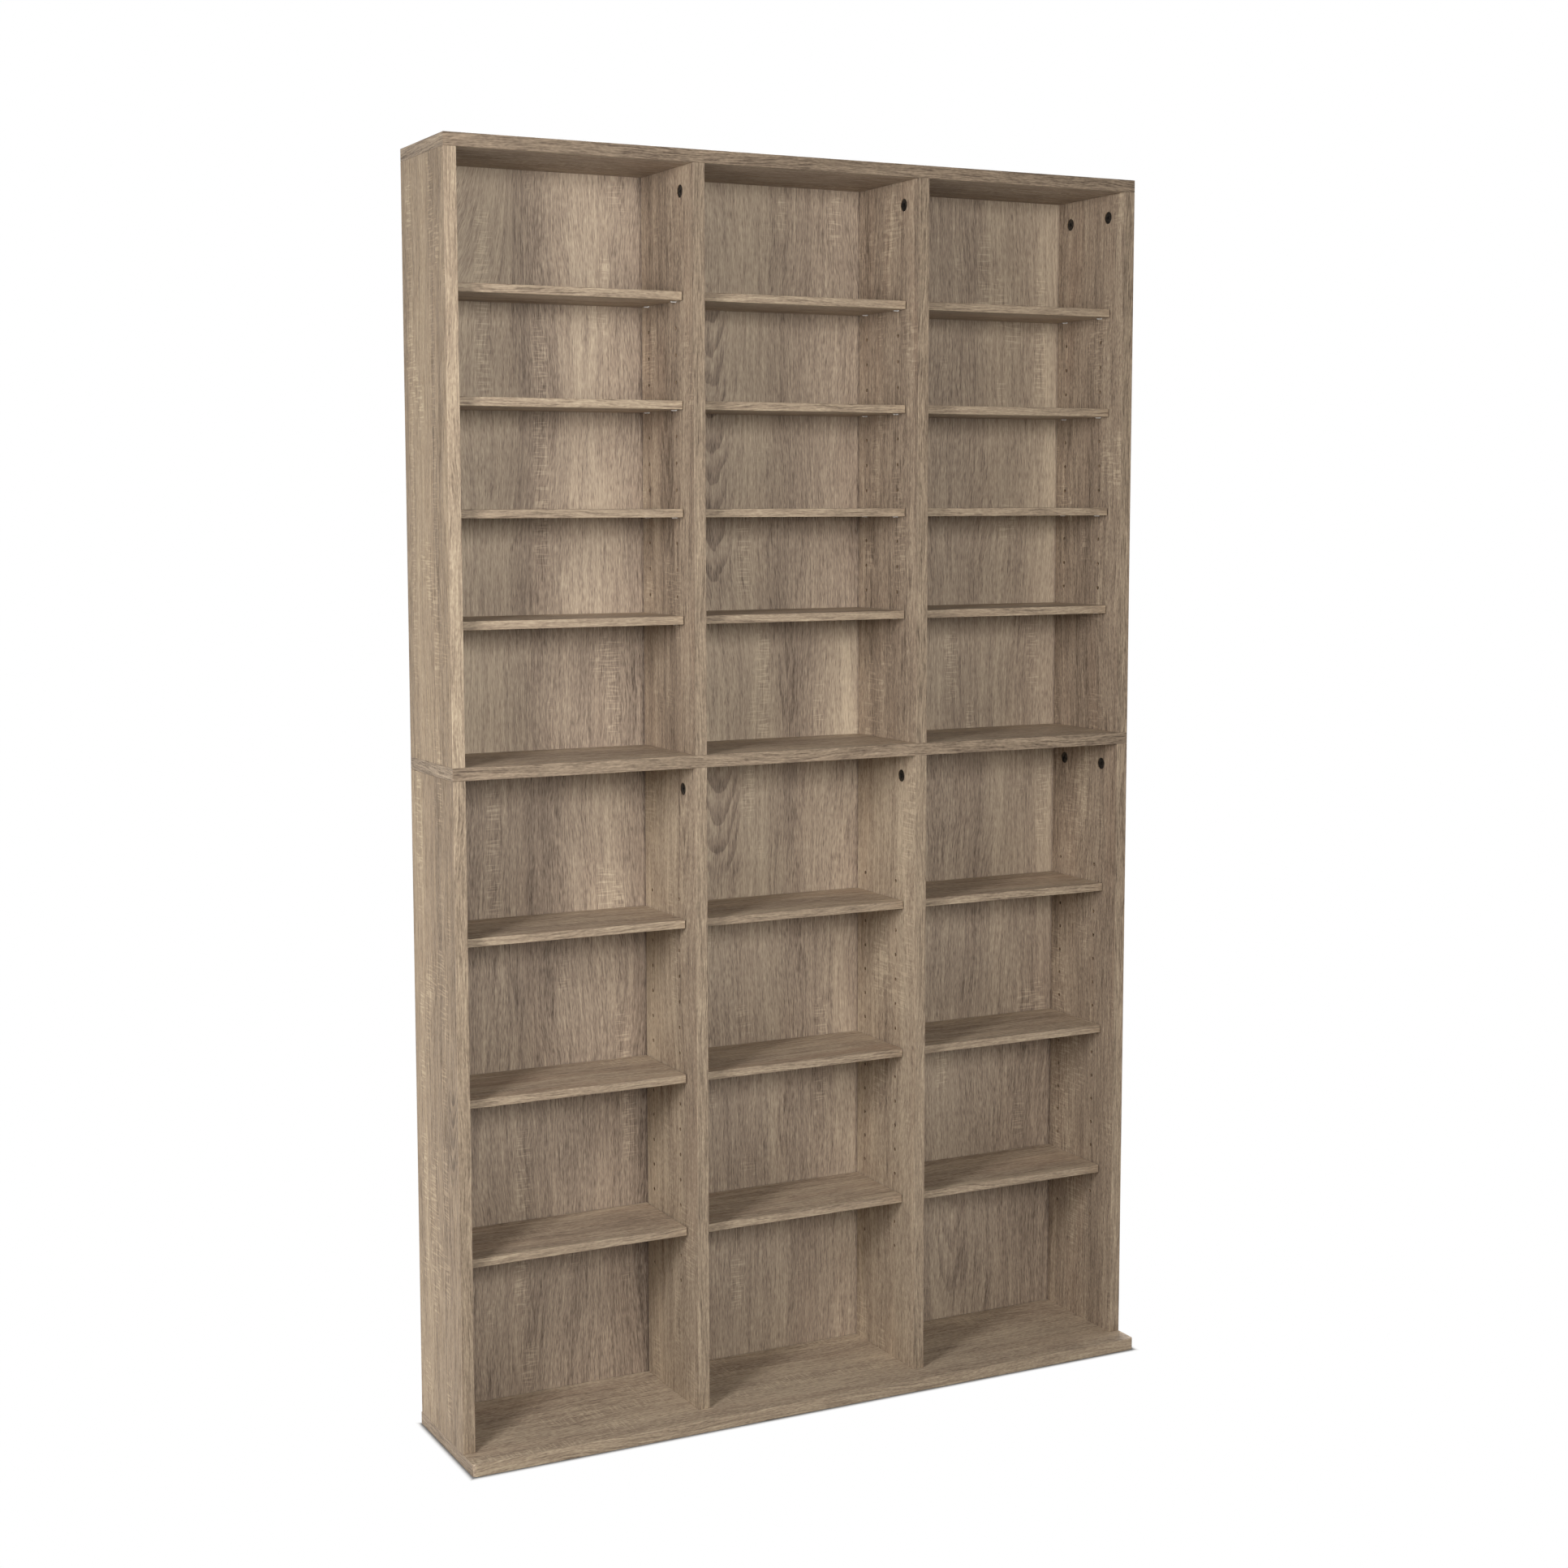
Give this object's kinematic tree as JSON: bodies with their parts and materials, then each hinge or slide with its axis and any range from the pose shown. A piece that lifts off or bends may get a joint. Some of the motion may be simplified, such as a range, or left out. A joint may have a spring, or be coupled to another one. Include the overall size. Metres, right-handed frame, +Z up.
{
  "type": "media shelf",
  "caption": "Tall open media shelf in oak-look board, with loose shelves on pins in rows of holes and a base board that runs out at the front.",
  "frame": {"origin": "middle of the underside of the base board", "axes": "+Z up, +Y to the back, +X to the right when the open front is faced"},
  "size_m": [1.0994, 0.218, 1.81],
  "materials": {
    "laminate": "satin oak-look laminate, grey brown",
    "back_sheet": "thin printed fibreboard, oak look",
    "pin_steel": "bright plated",
    "cam_metal": "dark zinc",
    "bolt_steel": "zinc plated",
    "dowel_wood": "raw beech"
  },
  "bodies": {
    "carcass": {"base_panel": "laminate", "middle_panel": "laminate", "top_panel": "laminate", "lower_left_side": "laminate", "lower_left_divider": "laminate", "lower_right_divider": "laminate", "lower_right_side": "laminate", "upper_left_side": "laminate", "upper_left_divider": "laminate", "upper_right_divider": "laminate", "upper_right_side": "laminate", "lower_left_back": "back_sheet", "lower_middle_back": "back_sheet", "lower_right_back": "back_sheet", "upper_left_back": "back_sheet", "upper_middle_back": "back_sheet", "upper_right_back": "back_sheet", "lower_left_shelf_pins": "pin_steel", "lower_middle_shelf_pins": "pin_steel", "lower_right_shelf_pins": "pin_steel", "upper_left_shelf_pins": "pin_steel", "upper_middle_shelf_pins": "pin_steel", "upper_right_shelf_pins": "pin_steel", "lower_cam_locks": "cam_metal", "lower_cam_bolts": "bolt_steel", "lower_dowels": "dowel_wood", "lower_screws": "bolt_steel", "upper_cam_locks": "cam_metal", "upper_cam_bolts": "bolt_steel", "upper_dowels": "dowel_wood", "upper_screws": "bolt_steel"},
    "lower_left_shelf_1": {"lower_left_shelf_1": "laminate"},
    "lower_left_shelf_2": {"lower_left_shelf_2": "laminate"},
    "lower_left_shelf_3": {"lower_left_shelf_3": "laminate"},
    "lower_middle_shelf_1": {"lower_middle_shelf_1": "laminate"},
    "lower_middle_shelf_2": {"lower_middle_shelf_2": "laminate"},
    "lower_middle_shelf_3": {"lower_middle_shelf_3": "laminate"},
    "lower_right_shelf_1": {"lower_right_shelf_1": "laminate"},
    "lower_right_shelf_2": {"lower_right_shelf_2": "laminate"},
    "lower_right_shelf_3": {"lower_right_shelf_3": "laminate"},
    "upper_left_shelf_1": {"upper_left_shelf_1": "laminate"},
    "upper_left_shelf_2": {"upper_left_shelf_2": "laminate"},
    "upper_left_shelf_3": {"upper_left_shelf_3": "laminate"},
    "upper_left_shelf_4": {"upper_left_shelf_4": "laminate"},
    "upper_middle_shelf_1": {"upper_middle_shelf_1": "laminate"},
    "upper_middle_shelf_2": {"upper_middle_shelf_2": "laminate"},
    "upper_middle_shelf_3": {"upper_middle_shelf_3": "laminate"},
    "upper_middle_shelf_4": {"upper_middle_shelf_4": "laminate"},
    "upper_right_shelf_1": {"upper_right_shelf_1": "laminate"},
    "upper_right_shelf_2": {"upper_right_shelf_2": "laminate"},
    "upper_right_shelf_3": {"upper_right_shelf_3": "laminate"},
    "upper_right_shelf_4": {"upper_right_shelf_4": "laminate"}
  },
  "joints": [
    {"name": "lower_left_shelf_1_pull_out", "type": "slide", "parent": "carcass", "child": "lower_left_shelf_1", "axis": [0, -1, 0], "range_m": [0, 0.22]},
    {"name": "lower_left_shelf_2_pull_out", "type": "slide", "parent": "carcass", "child": "lower_left_shelf_2", "axis": [0, -1, 0], "range_m": [0, 0.22]},
    {"name": "lower_left_shelf_3_pull_out", "type": "slide", "parent": "carcass", "child": "lower_left_shelf_3", "axis": [0, -1, 0], "range_m": [0, 0.22]},
    {"name": "lower_middle_shelf_1_pull_out", "type": "slide", "parent": "carcass", "child": "lower_middle_shelf_1", "axis": [0, -1, 0], "range_m": [0, 0.22]},
    {"name": "lower_middle_shelf_2_pull_out", "type": "slide", "parent": "carcass", "child": "lower_middle_shelf_2", "axis": [0, -1, 0], "range_m": [0, 0.22]},
    {"name": "lower_middle_shelf_3_pull_out", "type": "slide", "parent": "carcass", "child": "lower_middle_shelf_3", "axis": [0, -1, 0], "range_m": [0, 0.22]},
    {"name": "lower_right_shelf_1_pull_out", "type": "slide", "parent": "carcass", "child": "lower_right_shelf_1", "axis": [0, -1, 0], "range_m": [0, 0.22]},
    {"name": "lower_right_shelf_2_pull_out", "type": "slide", "parent": "carcass", "child": "lower_right_shelf_2", "axis": [0, -1, 0], "range_m": [0, 0.22]},
    {"name": "lower_right_shelf_3_pull_out", "type": "slide", "parent": "carcass", "child": "lower_right_shelf_3", "axis": [0, -1, 0], "range_m": [0, 0.22]},
    {"name": "upper_left_shelf_1_pull_out", "type": "slide", "parent": "carcass", "child": "upper_left_shelf_1", "axis": [0, -1, 0], "range_m": [0, 0.22]},
    {"name": "upper_left_shelf_2_pull_out", "type": "slide", "parent": "carcass", "child": "upper_left_shelf_2", "axis": [0, -1, 0], "range_m": [0, 0.22]},
    {"name": "upper_left_shelf_3_pull_out", "type": "slide", "parent": "carcass", "child": "upper_left_shelf_3", "axis": [0, -1, 0], "range_m": [0, 0.22]},
    {"name": "upper_left_shelf_4_pull_out", "type": "slide", "parent": "carcass", "child": "upper_left_shelf_4", "axis": [0, -1, 0], "range_m": [0, 0.22]},
    {"name": "upper_middle_shelf_1_pull_out", "type": "slide", "parent": "carcass", "child": "upper_middle_shelf_1", "axis": [0, -1, 0], "range_m": [0, 0.22]},
    {"name": "upper_middle_shelf_2_pull_out", "type": "slide", "parent": "carcass", "child": "upper_middle_shelf_2", "axis": [0, -1, 0], "range_m": [0, 0.22]},
    {"name": "upper_middle_shelf_3_pull_out", "type": "slide", "parent": "carcass", "child": "upper_middle_shelf_3", "axis": [0, -1, 0], "range_m": [0, 0.22]},
    {"name": "upper_middle_shelf_4_pull_out", "type": "slide", "parent": "carcass", "child": "upper_middle_shelf_4", "axis": [0, -1, 0], "range_m": [0, 0.22]},
    {"name": "upper_right_shelf_1_pull_out", "type": "slide", "parent": "carcass", "child": "upper_right_shelf_1", "axis": [0, -1, 0], "range_m": [0, 0.22]},
    {"name": "upper_right_shelf_2_pull_out", "type": "slide", "parent": "carcass", "child": "upper_right_shelf_2", "axis": [0, -1, 0], "range_m": [0, 0.22]},
    {"name": "upper_right_shelf_3_pull_out", "type": "slide", "parent": "carcass", "child": "upper_right_shelf_3", "axis": [0, -1, 0], "range_m": [0, 0.22]},
    {"name": "upper_right_shelf_4_pull_out", "type": "slide", "parent": "carcass", "child": "upper_right_shelf_4", "axis": [0, -1, 0], "range_m": [0, 0.22]}
  ]
}
